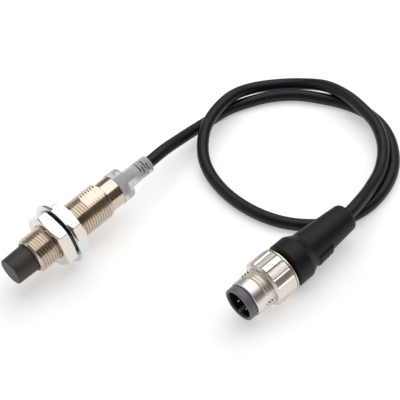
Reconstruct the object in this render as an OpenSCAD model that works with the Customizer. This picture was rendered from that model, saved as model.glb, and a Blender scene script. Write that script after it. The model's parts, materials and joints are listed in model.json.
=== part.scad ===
// Cylindrical inductive proximity sensor with a short cable and an M12 plug.
// Millimetres. +X runs along the sensor from its sensing face towards the cable, +Z is up,
// and z = 0 is the surface that the sensor, the cable and the plug lie on.

/* [Sensor] */
// Outside diameter of the threaded barrel
thread_d = 12; // [12:0.05:12.1]
// Thread pitch of the barrel
thread_pitch = 1; // [0.95:0.05:1.05]
// Length of the metal barrel
barrel_len = 35.2; // [35:0.2:36]
// Length of the smooth neck behind the thread
neck_len = 5.1; // [4.6:0.1:5.6]
// Diameter of the smooth neck
neck_d = 10.4; // [10.2:0.1:10.6]
// How far the plastic sensing cap stands out of the barrel
cap_out = 7.6; // [7.4:0.1:7.8]
// Diameter of the sensing cap where it leaves the barrel
cap_d = 9.2; // [9:0.1:9.4]
// Length of the clear cable gland behind the barrel
gland_out = 14.8; // [14.6:0.2:15.2]

/* [Mounting hardware] */
// Width across flats of the two nuts
nut_af = 17; // [16.8:0.1:17]
// Thickness of each nut
nut_h = 4; // [3.8:0.1:4]
// Where the front face of the front nut sits on the barrel
front_nut_at = 7.2; // [7:0.1:7.4]
// Where the front face of the toothed washer sits on the barrel
washer_at = 11.7; // [11.6:0.1:11.8]
// Outside diameter of the toothed washer
washer_d = 21; // [20.8:0.1:21]
// Thickness of the toothed washer
washer_h = 0.9; // [0.8:0.1:1]
// Angle of a nut corner from straight up
nut_angle = 9; // [0:1:30]

/* [Cable and plug] */
// Diameter of the cable
cable_d = 4; // [3.8:0.1:4]
// Diameter of the knurled grip of the plug
grip_d = 15; // [14.8:0.1:15]
// Length of the plug from its rim to the end of its boot
plug_len = 44.5; // [44:0.5:45]
// Number of narrow lands between two wide panels of the grip
grip_lands = 4; // [3:1:5]

/* [Hidden] */

$fn = 64;
eps = 0.01;
slip = 0.05;

// Sensor stations, measured from the front face of the barrel
barrel_bore = 9.8;
thread_len = barrel_len - neck_len;
gland_end = barrel_len + gland_out;
board_front = -2.9;
board_rear = 39.8;
board_h = 0.8;
board_w = 6.4;
resin_rear = 31.8;
flat_from = 22.6;
flat_angle = -8;
wall = 0.6;
cap_depth = 3;
resin_front = cap_depth;
core_front = wall - cap_out;
core_h = 3.2;
core_d = 7.4;
wire_room_from = 38;
wire_room_to = 40.5;
wire_d = 0.9;
seal_groove = [33.2, 34];
cap_tip_d = 8.8;
cap_round = 0.5;

// Placement of the sensor: its mid-length is over the origin
axis_z = washer_d / 2;
barrel_x = cap_out - (cap_out + gland_end) / 2;

// Placement of the plug: centre of its front rim, and how it is turned
plug_at = [5.75, -61.72, 7.37];
plug_yaw = -3.5;
plug_pitch = 0.8;
key_angle = 165;

// Plug stations, measured from its front rim
shroud_d = 10.8;
mouth_d = 9.1;
sleeve_from = 2.65;
sleeve_thread_from = 6.2;
grip_from = 9.4;
grip_to = 17.2;
collar_r = 5.8;
slots = [39, 159, 279];
slot_half = 1.5;
wide_land = 38;
rim_len = 2.4;
shaft_d = 9.8;
snap_from = grip_to + 0.1;
snap_h = 0.5;
snap_d = 11.6;
boot_from = 18.4;
pin_circle_d = 5;
pin_d = 1;
pin_tip = 1.4;
cavity_floor = 9.2;
carrier_end = 21;
pin_end = carrier_end + 1;
core_to = 34;
core_plug_r = [4.4, 2.9];
core_plug_taper_from = 28;
thread_depth = 0.5413;

// Centreline of the cable, from inside the gland to inside the boot
ROUTE = [
    [22.6, 0, 10.5], [29.6, 0, 10.5], [37, 0.8, 9.8], [45, 2.2, 7.6], [53, 3.6, 5.2],
    [61, 4.4, 3.2], [69, 4, 2.2], [76, 1, 2], [82.5, -3.5, 2], [88, -10, 2],
    [91.6, -18, 2], [94.2, -27, 2], [94.6, -36.5, 2], [91.5, -46, 2], [85.5, -54, 2],
    [77.5, -60, 2], [68, -63, 2], [58.5, -62.8, 2], [49, -58.7, 2], [42.3, -50, 2],
    [39, -39, 2], [39, -26.5, 2], [41.8, -15, 2.4], [46.3, -6.8, 4.2],
    [53.6, -0.8, 6.5], [62.3, 2.6, 7], [71.5, 3.8, 6.6], [80, 3, 4.4], [87.8, -1.2, 2.6],
    [93, -8.8, 3], [95, -18, 5], [94.2, -27.5, 6.2], [92, -36.6, 6.2], [88.8, -45, 5.6],
    [82.6, -52.6, 5], [74.4, -58, 4.8], [65.5, -61.3, 5.8], [57.5, -63.5, 7.4],
    [49.6, -64.4, 8], [39.7, -63.8, 7.85]
];

// ---------------------------------------------------------------- helpers

// Local +Z becomes the sensor's +X, from the barrel's front face
module on_sensor(at = 0) {
    translate([barrel_x + at, 0, axis_z]) rotate([0, 90, 0]) children();
}

// Local +Z becomes the plug's axis, from its front rim towards the cable
module on_plug(at = 0) {
    translate(plug_at) rotate([0, 0, plug_yaw]) rotate([0, 90 - plug_pitch, 0])
        translate([0, 0, at]) children();
}

// Turns local +X to an angle measured from straight up, towards +Y
module clocked(angle) {
    rotate([0, 0, 180 - angle]) children();
}

// A turned part from [radius, station] points
module turned(points) {
    rotate_extrude() polygon(points);
}

module ring(d_out, d_in, h) {
    turned([[d_in / 2, 0], [d_out / 2, 0], [d_out / 2, h], [d_in / 2, h]]);
}

// Outline of thread ridges from one station to another, as [radius, station] points
function ridges(d, pitch, from, to) =
    let (
        crest = pitch / 8,
        root = pitch / 4,
        flank = (pitch - crest - root) / 2,
        depth = thread_depth * pitch,
        count = floor((to - from) / pitch),
        start = from + (to - from - count * pitch) / 2
    )
    [for (i = [0:count - 1], p = [
        [d / 2 - depth, 0],
        [d / 2, flank],
        [d / 2, flank + crest],
        [d / 2 - depth, 2 * flank + crest]
    ]) [p[0], start + i * pitch + root / 2 + p[1]]];

// Hexagonal nut with turned chamfers on both faces, bored to run on the thread
module hex_nut(af, h, bore) {
    corner = af / cos(30) / 2;
    cut = 0.55;
    difference() {
        intersection() {
            cylinder(h = h, r = corner, $fn = 6);
            turned([
                [0, 0], [af / 2 - 0.1, 0], [corner + 0.1, cut + 0.2],
                [corner + 0.1, h - cut - 0.2], [af / 2 - 0.1, h], [0, h]
            ]);
        }
        translate([0, 0, -1]) cylinder(h = h + 2, d = bore);
        translate([0, 0, -eps]) turned([[0, 0], [bore / 2 + 0.5, 0], [bore / 2, 0.5], [0, 0.5]]);
        translate([0, 0, h - 0.5 + eps])
            turned([[0, 0], [bore / 2, 0], [bore / 2 + 0.5, 0.5], [0, 0.5]]);
    }
}

// ------------------------------------------------------- sensing head

module sensing_cap() {
    color("#3c3835") on_sensor() difference() {
        turned([
            [0, -cap_out],
            for (a = [0:15:90]) [
                cap_tip_d / 2 - cap_round + cap_round * sin(a),
                -cap_out + cap_round - cap_round * cos(a)
            ],
            [cap_d / 2, 0],
            [barrel_bore / 2, 0],
            [barrel_bore / 2, cap_depth],
            [0, cap_depth]
        ]);
        translate([0, 0, -cap_out + wall]) cylinder(h = cap_out + cap_depth, d = cap_tip_d - 2 * wall);
    }
}

module ferrite_core() {
    color("#2b2a29") on_sensor(core_front) difference() {
        cylinder(h = core_h, d = core_d);
        translate([0, 0, -1]) ring(6.6, 2.6, 1 + 2.2);
        translate([0, 0, -1]) cylinder(h = core_h + 2, d = 1);
        translate([1.4, -0.4, 1]) cube([1.6, 0.8, core_h]);
    }
}

module coil_bobbin() {
    color("#e8e4d8") on_sensor(core_front) turned([
        [1.35, 0], [3.2, 0], [3.2, 0.25], [1.6, 0.25], [1.6, 1.85], [3.2, 1.85],
        [3.2, 2.1], [1.35, 2.1]
    ]);
}

module sensing_coil() {
    color("#b8662e") on_sensor(core_front + 0.27) ring(6, 3.24, 1.56);
}

module core_holder() {
    color("#d9d4c6") on_sensor(core_front + core_h) difference() {
        union() {
            cylinder(h = 1, d = core_d);
            translate([-3.3, -1.7, 1 - eps]) cube([6.6, 3.4, 2.4]);
        }
        translate([-board_w / 2 - 1, -board_h / 2, 0.9]) cube([board_w + 2, board_h, 4]);
        translate([0, 0, -1]) cylinder(h = 5, d = 1.2);
    }
}

// ------------------------------------------------------------ barrel

module barrel() {
    root_r = thread_d / 2 - thread_depth * thread_pitch;
    color("#b9a98c") on_sensor() difference() {
        turned(concat(
            [[barrel_bore / 2, 0], [root_r - 0.1, 0], [root_r, 0.1]],
            ridges(thread_d, thread_pitch, 0.1, thread_len),
            [[root_r, thread_len], [neck_d / 2, thread_len + 0.2], [neck_d / 2, barrel_len],
                [barrel_bore / 2, barrel_len]]
        ));
        for (side = [0, 180]) clocked(side + flat_angle)
            translate([neck_d / 2, -thread_d, flat_from]) cube([2, 2 * thread_d, thread_len - flat_from]);
    }
}

// ------------------------------------------------------- electronics

// Places a part on the face of the board that looks towards +Y (side 1) or -Y (side -1)
module on_board(at, across, side) {
    on_sensor(at) translate([across, side * board_h / 2, 0]) children();
}

module chip_body(length, width, height, side) {
    translate([-width / 2, side > 0 ? 0 : -height, 0]) cube([width, height, length]);
}

module circuit_board() {
    color("#1f6b45") on_sensor(board_front) difference() {
        translate([-board_w / 2, -board_h / 2, 0]) cube([board_w, board_h, board_rear - board_front]);
        for (i = [-1, 0, 1])
            translate([i * 1.1, -board_h, board_rear - 0.8 - board_front])
                rotate([-90, 0, 0]) cylinder(h = 3, d = 0.5);
    }
}

module controller_chip() {
    color("#1c1c1f") on_board(6, 0, 1) union() {
        chip_body(5, 4, 1.2, 1);
        for (i = [0:3], s = [-1, 1]) translate([s * 2.3 - 0.35, 0, 0.45 + i * 1.2]) cube([0.7, 0.3, 0.5]);
    }
}

module output_transistor() {
    color("#242428") on_board(15, 0.6, 1) union() {
        chip_body(2.9, 1.6, 1.1, 1);
        for (z = [0.3, 2.1]) translate([-1.2, 0, z]) cube([0.5, 0.3, 0.5]);
        translate([0.7, 0, 1.2]) cube([0.5, 0.3, 0.5]);
    }
}

module capacitors() {
    color("#b89a6c") for (at = [6.5, 10, 22]) on_board(at, 0.8, -1) chip_body(2, 1.25, 1, -1);
}

module resistors() {
    color("#26262a") for (at = [14.5, 17, 19.5, 26]) on_board(at, -1.2, -1) chip_body(1.6, 0.8, 0.5, -1);
}

module indicator_leds() {
    color("#f2e9c4") for (side = [-1, 1]) on_board(35.8, 0, side) chip_body(1.6, 1.2, 0.7, side);
}

module potting_resin() {
    color("#20242c") difference() {
        on_sensor(resin_front) cylinder(h = resin_rear - resin_front, d = barrel_bore);
        on_sensor(0) translate([-board_w / 2, -board_h / 2, 0]) cube([board_w, board_h, 50]);
        controller_chip();
        output_transistor();
        capacitors();
        resistors();
    }
}

// -------------------------------------------------- mounting hardware

module front_nut() {
    color("#d8d6cf") on_sensor(front_nut_at) clocked(nut_angle) hex_nut(nut_af, nut_h, thread_d + 2 * slip);
}

module rear_nut() {
    color("#d8d6cf") on_sensor(washer_at + washer_h) clocked(nut_angle)
        hex_nut(nut_af, nut_h, thread_d + 2 * slip);
}

module toothed_washer() {
    teeth = 24;
    bore = thread_d + 2 * slip;
    color("#c3c8cf") on_sensor(washer_at) difference() {
        union() {
            ring(washer_d, bore + 2.6, washer_h);
            translate([0, 0, 0.25]) ring(bore + 2.6 + eps, bore, washer_h - 0.5);
        }
        for (i = [0:teeth - 1]) rotate([0, 0, (i + 0.5) * 360 / teeth])
            translate([0, -0.3, -1]) cube([bore / 2 + 1, 0.6, 4]);
    }
}

// -------------------------------------------------- gland and cable

module clear_gland() {
    neck_r = 2.95;
    body_r = 5.4;
    body_end = barrel_len + 4.1;
    shoulder_end = barrel_len + 7.4;
    slot_w = 0.5;
    slot_rows = [4.8, 3.8, 2.7, 1.8];
    color("#d9dde2", 0.6) on_sensor() difference() {
        turned([
            [0, resin_rear], [barrel_bore / 2, resin_rear],
            [barrel_bore / 2, seal_groove[0]], [barrel_bore / 2 - 0.5, seal_groove[0]],
            [barrel_bore / 2 - 0.5, seal_groove[1]], [barrel_bore / 2, seal_groove[1]],
            [barrel_bore / 2, barrel_len],
            [body_r, barrel_len], [body_r, body_end - 0.3], [body_r - 0.3, body_end],
            for (a = [0:15:90]) [
                neck_r + 0.1 + (body_r - 0.8 - neck_r) * (1 - sin(a)),
                shoulder_end - (shoulder_end - body_end - 0.1) * cos(a)
            ],
            [neck_r, gland_end - 0.2], [neck_r - 0.2, gland_end], [0, gland_end]
        ]);
        translate([-board_w / 2, -board_h / 2, resin_rear - 1])
            cube([board_w, board_h, board_rear - resin_rear + 1]);
        translate([-0.7, -1.2, 35.7]) cube([1.4, 2.4, 1.8]);
        translate([0, 0, wire_room_from]) cylinder(h = wire_room_to - wire_room_from, d = 5.6);
        translate([0, 0, wire_room_from]) cylinder(h = gland_end, d = cable_d);
        for (row = [0:3], third = [0:2])
            translate([0, 0, gland_end - slot_rows[row] - slot_w / 2])
                clocked(60 * (row % 2) + 120 * third + 45)
                    rotate_extrude(angle = 90) translate([cable_d / 2 - 0.1, 0]) square([2, slot_w]);
    }
}

// Seal in the gland's groove, against the bore of the barrel
module gland_seal() {
    color("#1a1a1a") on_sensor(seal_groove[0])
        ring(barrel_bore, barrel_bore - 1, seal_groove[1] - seal_groove[0]);
}

// One conductor, from its pad on the board to the end of the cable's sheath
module lead(place, shade) {
    wire_from = wire_room_from + 0.2;
    wire_to = ROUTE[0][0] - barrel_x;
    color(shade) on_sensor(wire_from)
        translate([place * 1.1, board_h / 2 + wire_d / 2, 0]) cylinder(h = wire_to - wire_from, d = wire_d);
}

module brown_wire() { lead(-1, "#6b3f22"); }

module blue_wire() { lead(0, "#2b5fa8"); }

module black_wire() { lead(1, "#17171a"); }

// Catmull-Rom point between ROUTE points i and i + 1, never below the cable's own radius
function route_at(i) = ROUTE[max(0, min(len(ROUTE) - 1, i))];
function spline(i, t) =
    let (
        a = route_at(i - 1), b = route_at(i), c = route_at(i + 1), d = route_at(i + 2),
        p = b + (c - a) * t / 2 + (a - 2.5 * b + 2 * c - d / 2) * t * t
            + (1.5 * b - a / 2 - 1.5 * c + d / 2) * t * t * t
    )
    [p[0], p[1], max(p[2], cable_d / 2)];
function unit(v) = v / norm(v);

module cable() {
    sides = 10;
    steps = 2;
    last = (len(ROUTE) - 1) * steps;
    path = [for (j = [0:last]) spline(floor(j / steps), (j % steps) / steps)];
    rings = [for (j = [0:last])
        let (
            along = unit(path[min(j + 1, last)] - path[max(j - 1, 0)]),
            side = unit(cross([0, 0, 1], along)),
            up = cross(along, side)
        )
        for (k = [0:sides - 1])
            path[j] + cable_d / 2 * (sin(360 * k / sides) * side - cos(360 * k / sides) * up)];
    faces = concat(
        [[for (k = [0:sides - 1]) k]],
        [for (j = [0:last - 1], k = [0:sides - 1])
            let (n = (k + 1) % sides, a = j * sides)
            [a + n, a + k, a + sides + k, a + sides + n]],
        [[for (k = [sides - 1:-1:0]) last * sides + k]]
    );
    color("#1b1b20") polyhedron(rings, faces);
}

// -------------------------------------------------------------- plug

function pin_angle(i) = key_angle + 45 + 90 * i;

module contact_carrier() {
    color("#6d6a78") on_plug() difference() {
        union() {
            difference() {
                turned([
                    [0, 0], [shroud_d / 2 - 0.3, 0], [shroud_d / 2, 0.3], [shroud_d / 2, rim_len],
                    [shaft_d / 2, rim_len], [shaft_d / 2, snap_from],
                    [shaft_d / 2 - 0.4, snap_from], [shaft_d / 2 - 0.4, snap_from + snap_h],
                    [shaft_d / 2, snap_from + snap_h], [shaft_d / 2, carrier_end], [0, carrier_end]
                ]);
                translate([0, 0, -1]) cylinder(h = cavity_floor + 1, d = mouth_d);
                translate([0, 0, -eps])
                    turned([[0, 0], [mouth_d / 2 + 0.25, 0], [mouth_d / 2, 0.25], [0, 0.25]]);
            }
            clocked(key_angle) translate([mouth_d / 2 - 0.7, -0.5, 0.5]) cube([1, 1, cavity_floor]);
        }
        for (i = [0:3]) clocked(pin_angle(i)) translate([pin_circle_d / 2, 0, 1])
            cylinder(h = carrier_end, d = pin_d);
    }
}

module contact_pin(i) {
    r = pin_d / 2;
    color("#d9b45a") on_plug() clocked(pin_angle(i)) translate([pin_circle_d / 2, 0, 0]) turned([
        [0, pin_tip], [r * 0.4, pin_tip], [r, pin_tip + 0.6], [r, pin_end], [0, pin_end]
    ]);
}

module contact_pin_1() { contact_pin(0); }

module contact_pin_2() { contact_pin(1); }

module contact_pin_3() { contact_pin(2); }

module contact_pin_4() { contact_pin(3); }

module front_seal() {
    color("#141414") on_plug(rim_len) ring(shroud_d + 0.1, shaft_d, 0.2);
}

module coupling_ring() {
    root_r = thread_d / 2 - thread_depth * thread_pitch;
    grip_r = grip_d / 2;
    rib_end = grip_to - 0.8;
    waist_r = grip_r - 0.8;
    lip_r = grip_r - 0.2;
    groove = 0.3;
    land = (120 - wide_land) / grip_lands;
    slot_from = sleeve_thread_from - 0.6;
    slot_to = grip_from - 0.2;
    color("#b7afa3") on_plug() difference() {
        turned(concat(
            [[shaft_d / 2 + slip, sleeve_from], [collar_r - 0.25, sleeve_from],
                [collar_r, sleeve_from + 0.25], [collar_r, sleeve_thread_from],
                [root_r, sleeve_thread_from + 0.1]],
            ridges(thread_d, thread_pitch, sleeve_thread_from + 0.1, grip_from),
            [[root_r, grip_from], [grip_r - 0.8, grip_from], [grip_r, grip_from + 0.8],
                [grip_r, rib_end], [waist_r, rib_end + 0.1], [waist_r, rib_end + 0.35],
                [lip_r, rib_end + 0.4], [lip_r, grip_to - 0.1], [lip_r - 0.1, grip_to],
                [shaft_d / 2 + slip, grip_to]]
        ));
        for (side = slots) clocked(side)
            translate([5.3, -slot_half, slot_from]) cube([3, 2 * slot_half, slot_to - slot_from]);
        for (side = slots, i = [0:grip_lands]) clocked(side + wide_land / 2 + i * land)
            translate([grip_r, 0, grip_from - 1]) rotate([0, 0, 45])
                translate([-groove, -groove, 0])
                    cube([2 * groove, 2 * groove, rib_end - grip_from + 1.2]);
    }
}

module snap_ring() {
    color("#a9a7a2") on_plug(snap_from) difference() {
        ring(snap_d, shaft_d - 0.8, snap_h);
        clocked(0) translate([0, -1.2, -1]) cube([8, 2.4, 3]);
    }
}

// A round rod between two points
module rod(from, to, d) {
    v = to - from;
    translate(from) rotate([0, acos(v[2] / norm(v)), atan2(v[1], v[0])]) cylinder(h = norm(v), d = d);
}

// The three conductors of the plug, fanning out from the cable to the rear ends of their pins
module conductors() {
    for (i = [0, 2, 3]) {
        a = 180 - pin_angle(i);
        rod(
            [pin_circle_d / 2 * cos(a), pin_circle_d / 2 * sin(a), pin_end],
            [1.1 * cos(a), 1.1 * sin(a), core_to],
            wire_d
        );
    }
}

// Outline of the plug's core from its front end, as [radius, station] points
function core_outline(front) = [
    [0, front], [core_plug_r[0], front], [core_plug_r[0], core_plug_taper_from],
    [core_plug_r[1], core_to], [0, core_to]
];

module plug_core() {
    color("#3a3a40") on_plug() difference() {
        turned(core_outline(carrier_end));
        for (i = [0:3]) clocked(pin_angle(i)) translate([pin_circle_d / 2, 0, carrier_end - 1])
            cylinder(h = pin_end - carrier_end + 1, d = pin_d);
        conductors();
    }
}

module plug_wires() {
    color("#6b3f22") on_plug() intersection() {
        conductors();
        translate([0, 0, pin_end]) cylinder(h = core_to - pin_end, d = 12);
    }
}

module boot() {
    end_r = 4.4;
    round_r = 1.3;
    color("#222228") on_plug() difference() {
        turned([
            [0, boot_from], [6.6, boot_from], [7.1, boot_from + 0.6], [7.1, 23.7], [6.9, 24.1],
            [5.9, 26.2], [5.75, 26.8],
            for (a = [0:15:90]) [
                end_r - round_r + round_r * cos(a),
                plug_len - round_r + round_r * sin(a)
            ],
            [0, plug_len]
        ]);
        translate([0, 0, boot_from - 1]) cylinder(h = carrier_end - boot_from + 1, d = shaft_d);
        turned(core_outline(carrier_end - eps));
        translate([0, 0, core_to - eps]) cylinder(h = plug_len, d = cable_d);
    }
}

sensing_cap();
ferrite_core();
coil_bobbin();
sensing_coil();
core_holder();
barrel();
circuit_board();
controller_chip();
output_transistor();
capacitors();
resistors();
indicator_leds();
potting_resin();
front_nut();
rear_nut();
toothed_washer();
clear_gland();
gland_seal();
brown_wire();
blue_wire();
black_wire();
cable();
contact_carrier();
contact_pin_1();
contact_pin_2();
contact_pin_3();
contact_pin_4();
front_seal();
coupling_ring();
snap_ring();
plug_core();
plug_wires();
boot();
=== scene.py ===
"""Looks of a cylindrical proximity sensor with a short cable and an M12 plug.

Round pieces are built in local millimetres: +Z runs along the piece's own axis (station) and +Y is up.
A placement matrix then takes them to the row frame, in metres. Angles round an axis are in degrees,
measured from straight up towards the row's +Y side.
"""

import json
import math

import bmesh
import bpy
from mathutils import Matrix, Quaternion, Vector

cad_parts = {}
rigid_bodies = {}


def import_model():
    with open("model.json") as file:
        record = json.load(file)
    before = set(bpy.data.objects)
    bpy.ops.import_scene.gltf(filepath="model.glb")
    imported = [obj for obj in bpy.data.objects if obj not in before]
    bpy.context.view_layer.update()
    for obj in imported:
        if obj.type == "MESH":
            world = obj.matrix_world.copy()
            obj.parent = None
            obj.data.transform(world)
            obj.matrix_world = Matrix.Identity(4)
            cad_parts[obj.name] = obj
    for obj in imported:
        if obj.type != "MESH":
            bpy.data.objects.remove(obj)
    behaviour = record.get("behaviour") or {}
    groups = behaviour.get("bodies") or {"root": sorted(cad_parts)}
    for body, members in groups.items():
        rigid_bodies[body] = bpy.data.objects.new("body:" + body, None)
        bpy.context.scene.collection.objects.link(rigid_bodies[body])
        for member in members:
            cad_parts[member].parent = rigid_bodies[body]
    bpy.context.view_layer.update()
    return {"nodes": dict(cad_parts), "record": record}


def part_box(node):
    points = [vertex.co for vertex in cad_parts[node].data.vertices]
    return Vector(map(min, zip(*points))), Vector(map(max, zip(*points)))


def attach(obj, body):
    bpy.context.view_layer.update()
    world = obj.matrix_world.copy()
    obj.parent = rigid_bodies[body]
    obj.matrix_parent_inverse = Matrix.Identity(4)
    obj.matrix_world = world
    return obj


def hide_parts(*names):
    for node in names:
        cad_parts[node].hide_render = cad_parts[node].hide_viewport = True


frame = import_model()

MM = 0.001
WELD = 0.0005  # local millimetres

# ------------------------------------------------------------------ dimensions, in millimetres

THREAD_D = 12
PITCH = 1
THREAD_DEPTH = 0.5413 * PITCH
CREST_R = THREAD_D / 2
ROOT_R = CREST_R - THREAD_DEPTH

BARREL_LEN = 35.2
THREAD_LEN = 30.1
NECK_R = 5.2
BORE_R = 4.9
FLAT_FROM = 22.6
FLAT_ANGLE = -8
CAP_OUT = 7.6
CAP_TIP_R = 4.4
CAP_BASE_R = 4.6
CAP_WALL = 0.6
CAP_DEPTH = 3

NUT_AF = 17
NUT_H = 4
NUT_BORE_R = 6.05
FRONT_NUT_AT = 7.2
WASHER_AT = 11.7
WASHER_H = 0.9
NUT_ANGLE = 9

GLAND_END = 50.0
CABLE_R = 2

SHROUD_R = 5.4
MOUTH_R = 4.55
RIM_LEN = 2.4
SHAFT_R = 4.9
CAVITY_FLOOR = 9.2
KEY_ANGLE = 165
PIN_CIRCLE_R = 2.5
PIN_TIP = 1.4
SLEEVE_FROM = 2.65
COLLAR_R = 5.8
SLEEVE_THREAD_FROM = 6.2
GRIP_FROM = 9.4
GRIP_TO = 17.2
GRIP_R = 7.5
WAIST_R = 6.7
LIP_R = 7.3
SLOTS = (39, 159, 279)
SLOT_HALF = 1.5
WIDE_PANEL = 38
NARROW_LANDS = 4
SNAP_FROM = 17.3
SNAP_TO = 17.8
SNAP_SEAT_R = 4.5
SNAP_R = 5.8
CARRIER_END = 21
BOOT_FROM = 18.4
BOOT_R = 7.1
BOOT_END = 44.5

# ------------------------------------------------------------------ places


def placement(origin, axis):
    """Matrix from local millimetres to the row frame: local +Z along axis, local +Y as near up as can be."""
    along = Vector(axis).normalized()
    side = Vector((0, 0, 1)).cross(along).normalized()
    turned = Matrix((side, along.cross(side), along)).transposed().to_4x4()
    return Matrix.Translation(origin) @ turned @ Matrix.Scale(MM, 4)


barrel_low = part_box("barrel")[0]
washer_low, washer_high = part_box("toothed_washer")
axis_z = (washer_low.z + washer_high.z) / 2
ON_SENSOR = placement((barrel_low.x, 0, axis_z), (1, 0, 0))

mounts = {mount["name"]: mount for mount in frame["record"]["mounts"]}
plug_rim = mounts["plug_contacts"]
ON_PLUG = placement(plug_rim["pos_m"], [-part for part in plug_rim["axis"]])

# ------------------------------------------------------------------ camera

VIEW_YAW = 36.3  # from +Y towards +X
VIEW_ELEVATION = 44.6
VIEW_ROLL = -12.6
VIEW_TARGET = Vector((0.0335, -0.0170, 0))
VIEW_DISTANCE = 0.3643
LENS = 102.06


def make_camera():
    yaw, elevation = math.radians(VIEW_YAW), math.radians(VIEW_ELEVATION)
    forward = Vector((
        math.sin(yaw) * math.cos(elevation), math.cos(yaw) * math.cos(elevation), -math.sin(elevation)
    ))
    data = bpy.data.cameras.new("camera")
    data.sensor_width = 36
    data.lens = LENS
    data.clip_start = 0.01
    data.clip_end = 20
    camera = bpy.data.objects.new("camera", data)
    bpy.context.scene.collection.objects.link(camera)
    camera.rotation_mode = "QUATERNION"
    camera.location = VIEW_TARGET - forward * VIEW_DISTANCE
    roll = Quaternion((0, 0, 1), math.radians(VIEW_ROLL))
    camera.rotation_quaternion = forward.to_track_quat("-Z", "Y") @ roll
    bpy.context.scene.camera = camera


make_camera()

# ------------------------------------------------------------------ materials


def node(tree, kind, **values):
    made = tree.nodes.new(kind)
    for name, value in values.items():
        if name in made.inputs:
            made.inputs[name].default_value = value
        else:
            setattr(made, name, value)
    return made


def finish(
    name, colour, roughness, metallic=0.0, mottle=0.12, mottle_scale=300.0, rough_vary=0.08,
    grain=0.0, grain_scale=4000.0, stretch=None, place=None, **surface
):
    """A surface whose colour, roughness and fine relief vary over it.

    mottle is the share by which the colour varies, grain the height of the relief in metres. stretch
    squeezes the pattern along the piece's own x, y and z, so that it draws out into lines, and place is
    the placement whose axes it follows. Anything else is set on the shader's own sockets.
    """
    material = bpy.data.materials.new(name)
    material.use_nodes = True
    tree = material.node_tree
    shader = tree.nodes["Principled BSDF"]
    shader.inputs["Metallic"].default_value = metallic
    for socket, value in surface.items():
        shader.inputs[socket.replace("_", " ")].default_value = value
    where = node(tree, "ShaderNodeTexCoord").outputs["Object"]
    if stretch is not None:
        turn = node(tree, "ShaderNodeMapping", vector_type="POINT")
        turn.inputs["Rotation"].default_value = (place.to_3x3().normalized().inverted()).to_euler()
        tree.links.new(where, turn.inputs["Vector"])
        squeeze = node(tree, "ShaderNodeMapping", vector_type="POINT")
        squeeze.inputs["Scale"].default_value = stretch
        tree.links.new(turn.outputs["Vector"], squeeze.inputs["Vector"])
        lines_at = squeeze.outputs["Vector"]
    else:
        lines_at = where
    clouds = node(tree, "ShaderNodeTexNoise", Scale=mottle_scale, Detail=4.0, Roughness=0.6)
    tree.links.new(where, clouds.inputs["Vector"])
    fine = node(tree, "ShaderNodeTexNoise", Scale=grain_scale, Detail=3.0, Roughness=0.65)
    tree.links.new(lines_at, fine.inputs["Vector"])
    blend = node(tree, "ShaderNodeMix", data_type="RGBA")
    blend.inputs["A"].default_value = (*[part * (1 - mottle) for part in colour], 1)
    blend.inputs["B"].default_value = (*[min(1, part * (1 + mottle)) for part in colour], 1)
    tree.links.new(clouds.outputs["Fac"], blend.inputs["Factor"])
    tree.links.new(blend.outputs["Result"], shader.inputs["Base Color"])
    spread = node(tree, "ShaderNodeMapRange")
    spread.inputs["From Min"].default_value = 0.3
    spread.inputs["From Max"].default_value = 0.7
    spread.inputs["To Min"].default_value = max(0.02, roughness - rough_vary)
    spread.inputs["To Max"].default_value = min(1.0, roughness + rough_vary)
    tree.links.new(fine.outputs["Fac"], spread.inputs["Value"])
    tree.links.new(spread.outputs["Result"], shader.inputs["Roughness"])
    if grain:
        relief = node(tree, "ShaderNodeBump", Strength=1.0, Distance=grain)
        tree.links.new(fine.outputs["Fac"], relief.inputs["Height"])
        tree.links.new(relief.outputs["Normal"], shader.inputs["Normal"])
    return material


TURNED = (0.12, 0.12, 6.0)  # fine lines round the axis, as a lathe leaves them
DRAWN = (3.0, 3.0, 0.15)  # fine lines along the axis

CAP_PLASTIC = finish(
    "cap_plastic", (0.043, 0.037, 0.034), 0.52, mottle=0.1, grain=0.000012, grain_scale=5200, rough_vary=0.06
)
PLATED_BRASS = finish(
    "plated_brass", (0.62, 0.53, 0.44), 0.17, metallic=1.0, mottle=0.06, rough_vary=0.05,
    grain=0.0000012, grain_scale=1500, stretch=TURNED, place=ON_SENSOR
)
PLATED_NUT = finish(
    "plated_nut", (0.76, 0.72, 0.68), 0.2, metallic=1.0, mottle=0.03, rough_vary=0.06,
    grain=0.000001, grain_scale=1800
)
ZINC = finish(
    "zinc_plate", (0.70, 0.75, 0.80), 0.16, metallic=1.0, mottle=0.08, rough_vary=0.07,
    grain=0.0000015, grain_scale=1400
)
CLEAR = finish(
    "clear_plastic", (0.98, 0.985, 0.99), 0.14, mottle=0.03, rough_vary=0.05, grain=0.000002,
    grain_scale=1600, Transmission_Weight=0.52, IOR=1.3
)
SHEATH = finish(
    "cable_sheath", (0.006, 0.006, 0.012), 0.4, mottle=0.15, rough_vary=0.07, grain=0.000004,
    grain_scale=3000, Specular_IOR_Level=0.3
)
BOOT = finish(
    "boot_rubber", (0.006, 0.006, 0.011), 0.5, mottle=0.15, grain=0.00001, grain_scale=4500, rough_vary=0.07,
    Specular_IOR_Level=0.28
)
CARRIER = finish(
    "carrier_plastic", (0.155, 0.148, 0.185), 0.4, mottle=0.08, grain=0.000004, grain_scale=4000
)
# Near-black plastic laid on the carrier's cavity walls and floor as painted shade.
CAVITY_SHADE = finish(
    "cavity_shade_plastic", (0.006, 0.006, 0.010), 0.45, mottle=0.15, grain=0.000004, grain_scale=4000
)
GOLD = finish("gold_contact", (0.90, 0.62, 0.22), 0.14, metallic=1.0, mottle=0.05, grain=0.000001)
NICKEL = finish(
    "satin_nickel", (0.78, 0.74, 0.69), 0.37, metallic=1.0, mottle=0.04, rough_vary=0.05,
    grain=0.000003, grain_scale=1600, stretch=DRAWN, place=ON_PLUG
)
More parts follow.
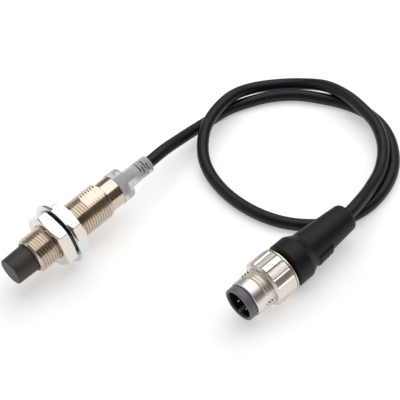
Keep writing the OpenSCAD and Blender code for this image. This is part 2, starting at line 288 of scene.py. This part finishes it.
# Dark steel for the snap ring; the same material goes on the coupling's slot walls as painted shade.
SPRING_AND_SLOT_SHADE = finish("spring_steel", (0.06, 0.06, 0.06), 0.45, metallic=1.0, mottle=0.08, grain=0.000001)
SEAL = finish("seal_rubber", (0.008, 0.008, 0.009), 0.5, mottle=0.2, grain=0.000006)

INNER_LOOKS = {
    "ferrite_core": finish("ferrite", (0.03, 0.029, 0.028), 0.6, grain=0.00001),
    "coil_bobbin": finish("bobbin_plastic", (0.78, 0.74, 0.66), 0.45, mottle=0.05),
    "sensing_coil": finish(
        "copper_wire", (0.76, 0.36, 0.17), 0.25, metallic=1.0, grain=0.00002, grain_scale=6000,
        stretch=TURNED, place=ON_SENSOR
    ),
    "core_holder": finish("holder_plastic", (0.66, 0.61, 0.52), 0.5, mottle=0.05),
    "circuit_board": finish("board", (0.17, 0.21, 0.42), 0.35, mottle=0.2, grain=0.000006, grain_scale=900),
    "controller_chip": finish("chip_plastic", (0.012, 0.012, 0.013), 0.5, grain=0.000006),
    "capacitors": finish("ceramic_chip", (0.48, 0.32, 0.15), 0.4, grain=0.000004),
    "indicator_leds": finish("led", (0.95, 0.9, 0.72), 0.3, mottle=0.05),
    "potting_resin": finish("resin", (0.26, 0.27, 0.38), 0.4, mottle=0.12),
    "gland_seal": SEAL,
    "brown_wire": finish("brown_insulation", (0.13, 0.05, 0.015), 0.4, grain=0.000004),
    "blue_wire": finish("blue_insulation", (0.02, 0.1, 0.38), 0.4, grain=0.000004),
    "black_wire": finish("black_insulation", (0.009, 0.009, 0.01), 0.4, grain=0.000004),
    "plug_core": finish("core_plastic", (0.04, 0.04, 0.05), 0.5, grain=0.000006),
}
INNER_LOOKS["output_transistor"] = INNER_LOOKS["controller_chip"]
INNER_LOOKS["resistors"] = INNER_LOOKS["controller_chip"]
INNER_LOOKS["plug_wires"] = INNER_LOOKS["brown_wire"]

for inner, look in INNER_LOOKS.items():
    materials = frame["nodes"][inner].data.materials
    materials.clear()
    materials.append(look)

# ------------------------------------------------------------------ cable

ROUTE = [  # metres: the centreline, from inside the gland to inside the boot
    (0.0226, 0, 0.0105), (0.0296, 0, 0.0105), (0.037, 0.0008, 0.0098), (0.045, 0.0022, 0.0076),
    (0.053, 0.0036, 0.0052), (0.061, 0.0044, 0.0032), (0.069, 0.004, 0.0022), (0.076, 0.001, 0.002),
    (0.0825, -0.0035, 0.002), (0.088, -0.01, 0.002), (0.0916, -0.018, 0.002), (0.0942, -0.027, 0.002),
    (0.0946, -0.0365, 0.002), (0.0915, -0.046, 0.002), (0.0855, -0.054, 0.002), (0.0775, -0.06, 0.002),
    (0.068, -0.063, 0.002), (0.0585, -0.0628, 0.002), (0.049, -0.0587, 0.002), (0.0423, -0.05, 0.002),
    (0.039, -0.039, 0.002), (0.039, -0.0265, 0.002), (0.0418, -0.015, 0.0024), (0.0463, -0.0068, 0.0042),
    (0.0536, -0.0008, 0.0065), (0.0623, 0.0026, 0.007), (0.0715, 0.0038, 0.0066), (0.08, 0.003, 0.0044),
    (0.0878, -0.0012, 0.0026), (0.093, -0.0088, 0.003), (0.095, -0.018, 0.005), (0.0942, -0.0275, 0.0062),
    (0.092, -0.0366, 0.0062), (0.0888, -0.045, 0.0056), (0.0826, -0.0526, 0.005), (0.0744, -0.058, 0.0048),
    (0.0655, -0.0613, 0.0058), (0.0575, -0.0635, 0.0074), (0.0496, -0.0644, 0.008),
    (0.0397, -0.0638, 0.00785),
]


def make_cable():
    """The sheath as one smooth curve through ROUTE."""
    curve = bpy.data.curves.new("cable_sheath", "CURVE")
    curve.dimensions = "3D"
    curve.bevel_depth = CABLE_R * MM
    curve.bevel_resolution = 10
    curve.resolution_u = 8
    curve.use_fill_caps = True
    spline = curve.splines.new("BEZIER")
    spline.bezier_points.add(len(ROUTE) - 1)
    points = [Vector(point) for point in ROUTE]
    for i, point in enumerate(spline.bezier_points):
        before, after = points[max(0, i - 1)], points[min(len(points) - 1, i + 1)]
        lean = (after - before) / 6
        point.co = points[i]
        point.handle_left_type = point.handle_right_type = "FREE"
        point.handle_left = points[i] - lean
        point.handle_right = points[i] + lean
    curve.materials.append(SHEATH)
    cable = bpy.data.objects.new("cable_sheath", curve)
    bpy.context.scene.collection.objects.link(cable)
    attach(cable, "root")
    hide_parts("cable")
    return cable


cable = make_cable()

# ------------------------------------------------------------------ mesh helpers


def local(radius, angle, station):
    """Local point at an angle from straight up towards the row's +Y side."""
    turn = math.radians(angle)
    return Vector((radius * math.sin(turn), radius * math.cos(turn), station))


def outline(*corners, closed=False, steps=4):
    """(radius, station) points through corners. A corner's third number rounds it off over that length."""
    points = []
    for i, corner in enumerate(corners):
        here = Vector(corner[:2])
        size = corner[2] if len(corner) > 2 else 0
        if not size or (not closed and i in (0, len(corners) - 1)):
            points.append(tuple(here))
            continue
        before = Vector(corners[i - 1][:2]) - here
        after = Vector(corners[(i + 1) % len(corners)][:2]) - here
        start = before.normalized() * min(size, before.length * 0.49)
        end = after.normalized() * min(size, after.length * 0.49)
        for k in range(steps + 1):
            t = k / steps
            points.append(tuple(here + start * (1 - t) ** 2 + end * t ** 2))
    return points


def skin(mesh, columns, loop=True, shut=False):
    """Faces between neighbouring columns of points. loop joins the last column to the first, shut each
    column's end to its start."""
    rows = [[mesh.verts.new(point) for point in column] for column in columns]
    count = len(rows)
    for i in range(count if loop else count - 1):
        here, there = rows[i], rows[(i + 1) % count]
        depth = len(here)
        for k in range(depth if shut else depth - 1):
            mesh.faces.new((here[k], there[k], there[(k + 1) % depth], here[(k + 1) % depth]))


def lathe(mesh, points, steps=96, shut=False):
    """A turned shape from (radius, station) points."""
    columns = [
        [local(radius, 360 * i / steps, station) for radius, station in points] for i in range(steps)
    ]
    skin(mesh, columns, shut=shut)


def tidy(mesh):
    bmesh.ops.remove_doubles(mesh, verts=mesh.verts, dist=WELD)
    bmesh.ops.dissolve_degenerate(mesh, edges=mesh.edges, dist=WELD)
    bmesh.ops.recalc_face_normals(mesh, faces=mesh.faces)


def box_shape(mesh, low, high, turn):
    """A box between two corners, then moved by a matrix."""
    made = bmesh.ops.create_cube(mesh, size=1)["verts"]
    low, high = Vector(low), Vector(high)
    for vert in made:
        vert.co = turn @ (low + Vector([(part + 0.5) * side for part, side in zip(vert.co, high - low)]))
    return made


def mesh_of(mesh, name):
    tidy(mesh)
    data = bpy.data.meshes.new(name)
    mesh.to_mesh(data)
    mesh.free()
    return data


def cut(data, cutter):
    """Takes the cutter's volume out of a mesh."""
    scene = bpy.context.scene.collection.objects
    whole = bpy.data.objects.new("whole", data)
    tool = bpy.data.objects.new("tool", mesh_of(cutter, "tool"))
    scene.link(whole)
    scene.link(tool)
    step = whole.modifiers.new("cut", "BOOLEAN")
    step.operation = "DIFFERENCE"
    step.solver = "EXACT"
    step.object = tool
    graph = bpy.context.evaluated_depsgraph_get()
    made = bpy.data.meshes.new_from_object(whole.evaluated_get(graph))
    made.name = data.name
    bpy.data.objects.remove(whole)
    bpy.data.objects.remove(tool)
    return made


def piece(name, data, place, material, body, node_name, sharp=32):
    """Puts a local mesh in the row frame, as the piece that stands for a CAD node."""
    data.transform(place)
    data.materials.clear()
    for look in material if isinstance(material, (list, tuple)) else [material]:
        data.materials.append(look)
    data.polygons.foreach_set("use_smooth", [True] * len(data.polygons))
    data.set_sharp_from_angle(angle=math.radians(sharp))
    made = bpy.data.objects.new(name, data)
    bpy.context.scene.collection.objects.link(made)
    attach(made, body)
    if node_name:
        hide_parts(node_name)
    return made


def thread_rows(angle, first, last, end_r, chamfer=1.0):
    """(radius, station) points of the right-handed thread at one angle, run out to end_r at both ends."""
    shape = [
        (0, ROOT_R), (0.10, ROOT_R), (0.145, ROOT_R + 0.03), (0.41, CREST_R - 0.04), (0.45, CREST_R),
        (0.55, CREST_R), (0.59, CREST_R - 0.04), (0.855, ROOT_R + 0.03), (0.90, ROOT_R),
    ]
    turns = int((last - first) / PITCH) + 3
    rows = []
    for turn in range(turns):
        for share, radius in shape:
            station = first + PITCH * (turn + share - angle / 360)
            station = min(max(station, first), last)
            limit = end_r + min(station - first, last - station) * chamfer
            rows.append((min(radius, limit), station))
    return rows


# ------------------------------------------------------------------ sensing head and barrel


def make_cap():
    front, inside = -CAP_OUT, CAP_TIP_R - CAP_WALL
    shape = bmesh.new()
    lathe(shape, outline(
        (0, front), (2.4, front), (CAP_TIP_R - 0.6, front), (CAP_TIP_R, front, 0.42), (4.55, -2.4),
        (CAP_BASE_R, -0.12), (CAP_BASE_R, 0, 0.06), (BORE_R, 0), (BORE_R, CAP_DEPTH, 0.2),
        (inside, CAP_DEPTH, 0.1), (inside, front + CAP_WALL, 0.3), (0, front + CAP_WALL)
    ), steps=120)
    return piece(
        "sensing_cap_shell", mesh_of(shape, "cap"), ON_SENSOR, CAP_PLASTIC, "root", "sensing_cap",
    )


def make_barrel():
    """Threaded tube with a helical thread, two wrench flats and a smooth neck."""
    columns = []
    front_r, chamfer = ROOT_R - 0.12, 1.0
    for i in range(121):
        angle = 3 * i
        rows = [(BORE_R, 0.15), (BORE_R + 0.12, 0), (front_r - 0.04, 0)]
        rows += thread_rows(angle, 0.02, THREAD_LEN, front_r, chamfer)
        rows += outline(
            (front_r, THREAD_LEN), (NECK_R, THREAD_LEN + 0.06, 0.05), (NECK_R, BARREL_LEN - 0.3),
            (NECK_R, BARREL_LEN, 0.15), (BORE_R, BARREL_LEN)
        )
        rows += [(BORE_R, BARREL_LEN - 2), (BORE_R, 10)]
        columns.append([local(radius, angle, station) for radius, station in rows])
    shape = bmesh.new()
    skin(shape, columns, loop=False, shut=True)
    data = mesh_of(shape, "barrel")
    flats = bmesh.new()
    for side in (0, 180):
        turn = Matrix.Rotation(math.radians(-side - FLAT_ANGLE), 4, "Z")
        box_shape(flats, (-8, NECK_R, FLAT_FROM), (8, 8, THREAD_LEN + 0.03), turn)
    barrel = piece(
        "threaded_barrel", cut(data, flats), ON_SENSOR, PLATED_BRASS, "root", "barrel",
        sharp=24
    )
    across_flats = (ON_SENSOR.to_3x3() @ local(1, FLAT_ANGLE, 0)).normalized()
    for face in barrel.data.polygons:
        if abs(face.normal.dot(across_flats)) > 0.9999:
            face.use_smooth = False
    return barrel


# ------------------------------------------------------------------ nuts and washer


def make_nut(name, at, body, node_name, back=1.0):
    """Hexagonal nut with fine rounded edges.

    back is the rear chamfer's depth as a share of the front one's.
    """
    flat_r = NUT_AF / 2
    slope = math.tan(math.radians(26))
    face_r, edge, corner_trim = flat_r - 0.12, 0.06, 0.05
    corner_r = flat_r / math.cos(math.radians(30)) - corner_trim
    within = [-30, -29.5, -28.8, -27.6, -25, -21, -16, -11, -5.5, 0, 5.5, 11, 16, 21, 25, 27.6, 28.8, 29.5]
    columns = []
    for side in range(6):
        for angle in within:
            rim = min(flat_r / math.cos(math.radians(angle)), corner_r)
            drop = (rim - face_r) * slope
            front = [
                (NUT_BORE_R, 0.62), (NUT_BORE_R, 0.5), (NUT_BORE_R + 0.44, 0.06), (NUT_BORE_R + 0.52, 0),
                (face_r - 0.3, 0), (face_r - edge, 0), (face_r + edge, edge * slope),
                (max(face_r + edge, rim - edge), max(edge * slope, drop - edge * slope)), (rim, drop + edge),
                (rim, drop + edge + 0.15),
            ]
            rows = front + [(radius, NUT_H - station * back) for radius, station in reversed(front)]
            turn = angle + 60 * side + 30 + NUT_ANGLE
            columns.append([local(radius, turn, at + station) for radius, station in rows])
    shape = bmesh.new()
    skin(shape, columns, shut=True)
    return piece(name, mesh_of(shape, name), ON_SENSOR, PLATED_NUT, body, node_name, sharp=40)


def make_washer():
    """Lock washer: a flat rim with twisted teeth on its inside."""
    teeth, rim_r, web_r = 24, 10.5, 7.3
    shape = bmesh.new()
    lathe(shape, outline(
        (web_r, 0, 0.1), (rim_r, 0, 0.16), (rim_r, WASHER_H, 0.16), (web_r, WASHER_H, 0.1), closed=True
    ), steps=144, shut=True)
    tip_r, half_width, half_height = 6.08, 0.55, 0.25
    for i in range(teeth):
        columns = []
        for k in range(5):
            radius = web_r + 0.1 - (web_r + 0.1 - tip_r) * k / 4
            twist = math.radians(20 * k / 4)
            width = half_width * (1 - 0.12 * k / 4)
            column = []
            for across, height in ((-1, -1), (1, -1), (1, 1), (-1, 1)):
                a, h = across * width, height * half_height
                column.append((
                    a * math.cos(twist) - h * math.sin(twist),
                    a * math.sin(twist) + h * math.cos(twist),
                    radius
                ))
            columns.append(column)
        turn = Matrix.Rotation(math.radians(360 * i / teeth), 4, "Z")
        rings = [
            [shape.verts.new(turn @ Vector((x, radius, WASHER_H / 2 + h))) for x, h, radius in column]
            for column in columns
        ]
        for ring, following in zip(rings, rings[1:]):
            for k in range(4):
                shape.faces.new((ring[k], following[k], following[(k + 1) % 4], ring[(k + 1) % 4]))
        shape.faces.new(rings[0])
        shape.faces.new(list(reversed(rings[-1])))
    data = mesh_of(shape, "washer")
    data.transform(Matrix.Translation((0, 0, WASHER_AT)))
    return piece("lock_washer", data, ON_SENSOR, ZINC, "washer", "toothed_washer")


# ------------------------------------------------------------------ gland


def make_gland():
    """Clear moulding: a spigot in the barrel, a round body, a hollowed shoulder and a slotted neck."""
    body_r, neck_r = 5.4, 2.95
    body_end, shoulder_end = BARREL_LEN + 4.1, BARREL_LEN + 7.4
    shoulder = []
    for k in range(9):
        turn = math.radians(90 * k / 8)
        shoulder.append((
            neck_r + 0.1 + (body_r - 0.8 - neck_r) * (1 - math.sin(turn)),
            shoulder_end - (shoulder_end - body_end - 0.1) * math.cos(turn),
        ))
    shape = bmesh.new()
    points = outline(
        (CABLE_R + 0.02, 43.4), (CABLE_R + 0.02, GLAND_END, 0.05), (neck_r, GLAND_END, 0.25),
        (neck_r, shoulder_end + 2), *reversed(shoulder), (body_r, body_end, 0.3), (body_r, BARREL_LEN + 2),
        (body_r, BARREL_LEN, 0.12), (BORE_R, BARREL_LEN), (BORE_R, BARREL_LEN - 1.4), (0, BARREL_LEN - 1.4)
    )
    lathe(shape, [(0, 43.4)] + points, steps=120)
    data = mesh_of(shape, "gland")
    slots = bmesh.new()
    for row, back in enumerate((4.8, 3.8, 2.7, 1.8)):
        for third in range(3):
            middle = 60 * (row % 2) + 120 * third - 14
            columns = []
            for k in range(13):
                angle = middle - 45 + 90 * k / 12
                at = GLAND_END - back
                columns.append([
                    local(radius, angle, station)
                    for radius, station in (
                        (1.8, at - 0.25), (4, at - 0.25), (4, at + 0.25), (1.8, at + 0.25)
                    )
                ])
            skin(slots, columns, loop=False, shut=True)
            slots.verts.ensure_lookup_table()
            slots.faces.new(slots.verts[-4:])
            slots.faces.new(slots.verts[-52:-48])
    return piece(
        "clear_cable_gland", cut(data, slots), ON_SENSOR, CLEAR, "root", "clear_gland"
    )


# ------------------------------------------------------------------ plug


def make_carrier():
    """Contact carrier: grey shroud with its cavity walls and floor in near-black plastic as painted shade,
    and its coding rib.
    """
    shape = bmesh.new()
    lathe(shape, outline(
        (0, CAVITY_FLOOR), (1.6, CAVITY_FLOOR), (3.6, CAVITY_FLOOR), (MOUTH_R, CAVITY_FLOOR, 0.1),
        (MOUTH_R, 4), (MOUTH_R, 0.8), (MOUTH_R, 0, 0.28), (SHROUD_R, 0, 0.3), (SHROUD_R, RIM_LEN, 0.06),
        (SHAFT_R, RIM_LEN), (SHAFT_R, SNAP_FROM), (SNAP_SEAT_R, SNAP_FROM), (SNAP_SEAT_R, SNAP_TO),
        (SHAFT_R, SNAP_TO), (SHAFT_R, CARRIER_END, 0.2), (0, CARRIER_END)
    ), steps=120)
    data = mesh_of(shape, "carrier")
    carrier = piece(
        "contact_carrier_shell", data, ON_PLUG, [CARRIER, CAVITY_SHADE], "root", "contact_carrier",
    )
    # The cavity walls and floor get the near-black material as painted shade.
    inverse = ON_PLUG.inverted()
    for face in carrier.data.polygons:
        middle = inverse @ face.center
        if middle.xy.length < MOUTH_R + 0.01 and 0.7 < middle.z < CAVITY_FLOOR + 0.1:
            face.material_index = 1
    return carrier


def make_key():
    """Coding rib along the inside of the shroud, with a rounded crest."""
    inner_r, outer_r, width, front = MOUTH_R - 0.75, MOUTH_R + 0.2, 1.0, 0.55
    section = []
    for k in range(9):
        turn = math.radians(180 * k / 8)
        section.append((-math.cos(turn) * width / 2, inner_r + 0.25 * (1 - math.sin(turn))))
    section = [(-width / 2, outer_r)] + section + [(width / 2, outer_r)]
    shape = bmesh.new()
    rings = []
    for station, shrink in ((front, 0.8), (front + 0.06, 0.92), (front + 0.15, 1), (CAVITY_FLOOR + 0.1, 1)):
        rings.append([
            shape.verts.new((across * shrink, outer_r + (radius - outer_r) * shrink, station))
            for across, radius in section
        ])
    for ring, following in zip(rings, rings[1:]):
        for k in range(len(section)):
            last = (k + 1) % len(section)
            shape.faces.new((ring[k], ring[last], following[last], following[k]))
    shape.faces.new(rings[0])
    shape.faces.new(list(reversed(rings[-1])))
    data = mesh_of(shape, "key")
    data.transform(Matrix.Rotation(math.radians(-KEY_ANGLE), 4, "Z"))
    return piece("coding_rib", data, ON_PLUG, CARRIER, "root", None, sharp=50)


def make_pin(number):
    """Contact pin: a gold rod with a rounded nose and a collar where it leaves the carrier."""
    radius, tip = 0.5, PIN_TIP
    shape = bmesh.new()
    lathe(shape, outline(
        (0, tip), (0.24, tip + 0.02, 0.1), (radius, tip + 0.62, 0.3), (radius, CAVITY_FLOOR - 0.25),
        (0.72, CAVITY_FLOOR - 0.12, 0.08), (0.72, CAVITY_FLOOR + 0.05), (radius, CAVITY_FLOOR + 0.05),
        (radius, 22), (0, 22)
    ), steps=32)
    data = mesh_of(shape, "pin")
    angle = KEY_ANGLE + 45 + 90 * (number - 1)
    data.transform(Matrix.Translation(local(PIN_CIRCLE_R, angle, 0)))
    return piece(
        f"pin_{number}", data, ON_PLUG, GOLD, "root", f"contact_pin_{number}"
    )


def make_front_seal():
    shape = bmesh.new()
    lathe(shape, outline(
        (SHAFT_R, RIM_LEN, 0.03), (5.46, RIM_LEN, 0.07), (5.46, RIM_LEN + 0.24, 0.07),
        (SHAFT_R, RIM_LEN + 0.24, 0.03), closed=True
    ), steps=96, shut=True)
    data = mesh_of(shape, "seal")
    return piece("front_seal_ring", data, ON_PLUG, SEAL, "root", "front_seal")


def make_coupling():
    """Coupling ring: smooth collar, thread crossed by three slots whose side walls carry dark steel as
    painted shade, and a grooved grip.
    """
    groove, groove_depth, flatness = 3.7, 0.42, 0.06
    inside = 4.95
    narrow = (120 - WIDE_PANEL) / NARROW_LANDS
    lands = []
    for side in SLOTS:
        lands += [(side + WIDE_PANEL / 2 + narrow * i, narrow) for i in range(NARROW_LANDS)]
        lands.append((side + 120 - WIDE_PANEL / 2, WIDE_PANEL))
    angles = []
    for start, width in lands:
        steps = 3 if width < WIDE_PANEL else 7
        angles += [(start, start, width), (start + groove / 2, start, width)]
        across = width - 2 * groove
        angles += [(start + groove + across * k / steps, start, width) for k in range(steps + 1)]
        angles.append((start + width - groove / 2, start, width))
    angles.append((lands[0][0] + 360, lands[0][0] + 360, narrow))

    def grip_r(place, limit):
        """Radius of the grip: slightly flat lands, V grooves, and nothing outside limit."""
        angle, start, width = place
        within = angle - start
        to_groove = min(within, width - within)
        half = min(width, narrow) / 2
        bulge = GRIP_R * (1 - math.cos(math.radians(half))) - flatness
        land = GRIP_R - bulge * max(0, min(1, to_groove / half))
        valley = GRIP_R - groove_depth + groove_depth * to_groove / groove * 1.1
        return min(land, valley, limit, GRIP_R)

    columns = []
    for place in angles:
        angle = place[0]
        rows = outline(
            (inside, SLEEVE_FROM, 0.05), (COLLAR_R - 0.25, SLEEVE_FROM, 0.05),
            (COLLAR_R, SLEEVE_FROM + 0.25, 0.12), (COLLAR_R, SLEEVE_THREAD_FROM - 0.15, 0.05),
            (ROOT_R, SLEEVE_THREAD_FROM)
        )
        rows = [(inside, GRIP_TO), (inside, 10)] + rows
        rows += thread_rows(angle, SLEEVE_THREAD_FROM + 0.02, GRIP_FROM - 0.25, ROOT_R - 0.01, 1.4)
        rows += [
            (ROOT_R - 0.01, GRIP_FROM - 0.2), (ROOT_R + 0.1, GRIP_FROM - 0.06), (ROOT_R + 0.2, GRIP_FROM)
        ]
        rows.append((GRIP_R - 0.88, GRIP_FROM))
        for back in (0.08, 0.3, 0.5, 0.68, 0.8, 0.95):
            rows.append((grip_r(place, GRIP_R - 0.8 + back), GRIP_FROM + back))
        rib_end = GRIP_TO - 0.8
        rows += [(grip_r(place, GRIP_R), rib_end - 0.15), (grip_r(place, GRIP_R) - 0.06, rib_end - 0.03)]
        rows += outline(
            (WAIST_R + 0.2, rib_end), (WAIST_R, rib_end + 0.08, 0.04), (WAIST_R, rib_end + 0.35, 0.05),
            (LIP_R, rib_end + 0.38, 0.06), (LIP_R, GRIP_TO, 0.13), (inside, GRIP_TO)
        )
        columns.append([local(radius, angle, station) for radius, station in rows])
    shape = bmesh.new()
    skin(shape, columns, loop=False, shut=True)
    data = mesh_of(shape, "coupling")
    slots = bmesh.new()
    for side in SLOTS:
        turn = Matrix.Rotation(math.radians(-side), 4, "Z")
        box_shape(slots, (-SLOT_HALF, 5.3, SLEEVE_THREAD_FROM - 0.6), (SLOT_HALF, 8, GRIP_FROM - 0.05), turn)
    sleeve = piece(
        "coupling_sleeve", cut(data, slots), ON_PLUG, [NICKEL, SPRING_AND_SLOT_SHADE], "coupling", "coupling_ring",
        sharp=24
    )
    # The slots' side walls get the dark steel material as painted shade, standing for the shadow in the
    # narrow slots.
    inverse = ON_PLUG.inverted()
    for face in sleeve.data.polygons:
        middle = inverse @ face.center
        for side in SLOTS:
            upright = Matrix.Rotation(math.radians(side), 4, "Z") @ middle
            painted_shade_wall = abs(abs(upright.x) - SLOT_HALF) < 0.02
            if painted_shade_wall and upright.y > 5.2 and middle.z < GRIP_FROM:
                face.material_index = 1
    return sleeve


def make_snap_ring():
    shape = bmesh.new()
    gap = 12
    columns = []
    for i in range(73):
        angle = gap + (360 - 2 * gap) * i / 72
        columns.append([
            local(radius, angle, station)
            for radius, station in outline(
                (SNAP_SEAT_R, SNAP_FROM, 0.06), (SNAP_R, SNAP_FROM, 0.1), (SNAP_R, SNAP_TO, 0.1),
                (SNAP_SEAT_R, SNAP_TO, 0.06), closed=True
            )
        ])
    skin(shape, columns, loop=False, shut=True)
    depth = len(columns[0])
    shape.verts.ensure_lookup_table()
    shape.faces.new(shape.verts[:depth])
    shape.faces.new(shape.verts[-depth:])
    data = mesh_of(shape, "snap")
    return piece("snap_ring_wire", data, ON_PLUG, SPRING_AND_SLOT_SHADE, "root", "snap_ring")


def make_boot():
    """Overmoulded boot: collar, conical step and tapered tail, with grip ribs on its lower side."""
    rib_from, rib_count, rib_pitch, rib_high = 27.5, 4, 1.5, 0.6
    rib_middle, rib_half = 240, 42
    tail = [(5.75, 26.8), (4.4, BOOT_END)]

    def rib_height(angle, station):
        """Height of the ribs over the tail, faded out towards their ends."""
        off = abs((angle - rib_middle + 180) % 360 - 180)
        fade = min(1, max(0, (rib_half - off) / 8))
        along = (station - rib_from) / rib_pitch
        if not 0 <= along <= rib_count:
            return 0
        wave = math.sin(math.pi * (along % 1))
        return rib_high * fade * min(1, 0.35 + wave)

    def tail_r(station):
        share = (station - tail[0][1]) / (tail[1][1] - tail[0][1])
        return tail[0][0] + (tail[1][0] - tail[0][0]) * share

    columns = []
    steps = 144
    for i in range(steps):
        angle = 360 * i / steps
        rows = outline(
            (SHAFT_R, CARRIER_END), (SHAFT_R, BOOT_FROM, 0.05), (6.6, BOOT_FROM, 0.05),
            (BOOT_R, BOOT_FROM + 0.6, 0.15), (BOOT_R, 22.4), (BOOT_R, 23.7, 0.2), (6.9, 24.1, 0.2),
            (5.9, 26.2, 0.2), tail[0]
        )
        station = 27.0
        while station < 34.8:
            rows.append((tail_r(station) + rib_height(angle, station), station))
            station += 0.16
        rows += [(tail_r(36.5), 36.5), (tail_r(39), 39)]
        rows += outline(
            (tail_r(41), 41), (tail_r(BOOT_END), BOOT_END, 1.3), (CABLE_R + 0.25, BOOT_END, 0.15),
            (CABLE_R + 0.02, BOOT_END - 0.3), (CABLE_R + 0.02, 34.3), steps=8
        )
        rows += [(2.9, 34), (4.4, 28), (4.4, CARRIER_END)]
        columns.append([local(radius, angle, at) for radius, at in rows])
    shape = bmesh.new()
    skin(shape, columns, shut=True)
    data = mesh_of(shape, "boot")
    return piece("cable_boot", data, ON_PLUG, BOOT, "root", "boot", sharp=38)


make_cap()
make_barrel()
make_nut("front_hex_nut", FRONT_NUT_AT, "nut_front", "front_nut", back=0.6)
make_nut("rear_hex_nut", WASHER_AT + WASHER_H, "nut_rear", "rear_nut")
make_washer()
make_gland()
plug_pieces = [make_carrier(), make_key(), make_front_seal(), make_coupling(), make_snap_ring(), make_boot()]
plug_pieces += [make_pin(number) for number in (1, 2, 3, 4)]
plug_pieces += [frame["nodes"]["plug_core"], frame["nodes"]["plug_wires"]]

# ------------------------------------------------------------------ floor, backdrop and light


def make_floor():
    shape = bmesh.new()
    bmesh.ops.create_grid(shape, x_segments=8, y_segments=8, size=3)
    data = bpy.data.meshes.new("floor")
    shape.to_mesh(data)
    shape.free()
    data.materials.append(finish(
        "floor_paint", (0.86, 0.86, 0.86), 0.9, mottle=0.0, rough_vary=0.02,
        Emission_Color=(1, 1, 1, 1), Emission_Strength=0.43
    ))
    floor = bpy.data.objects.new("floor", data)
    bpy.context.scene.collection.objects.link(floor)


def make_backdrop():
    """A pale curved wall on the far side, from the left round to the back."""
    radius, height = 2.2, 1.6
    shape = bmesh.new()
    columns = []
    for i in range(41):
        turn = math.radians(20 + 220 * i / 40)
        across, away = math.cos(turn) * radius, math.sin(turn) * radius
        columns.append([(across, away, 0), (across, away, height)])
    skin(shape, columns, loop=False)
    data = bpy.data.meshes.new("backdrop")
    shape.to_mesh(data)
    shape.free()
    data.materials.append(finish("backdrop_paint", (0.8, 0.8, 0.8), 0.9, mottle=0.0, rough_vary=0.02))
    backdrop = bpy.data.objects.new("backdrop", data)
    bpy.context.scene.collection.objects.link(backdrop)


def soft_light(name, place, target, size, power, colour=(1, 1, 1)):
    data = bpy.data.lights.new(name, "AREA")
    data.shape = "RECTANGLE"
    data.size, data.size_y = size
    data.energy = power
    data.color = colour
    light = bpy.data.objects.new(name, data)
    bpy.context.scene.collection.objects.link(light)
    light.location = place
    light.rotation_mode = "QUATERNION"
    light.rotation_quaternion = (Vector(target) - Vector(place)).to_track_quat("-Z", "Y")


def make_world(colour, strength):
    world = bpy.data.worlds.new("studio")
    world.use_nodes = True
    background = world.node_tree.nodes["Background"]
    background.inputs["Color"].default_value = (*colour, 1)
    background.inputs["Strength"].default_value = strength
    bpy.context.scene.world = world


middle = (0.03, -0.02, 0)
make_floor()
make_backdrop()
make_world((0.30, 0.25, 0.21), 0.35)
soft_light("overhead", (0.30, 0.02, 0.65), middle, (1.0, 0.9), 4.8)
soft_light("back_left", (-0.7, 1.0, 0.7), middle, (0.9, 0.6), 2)
bpy.context.scene.view_settings.view_transform = "Standard"
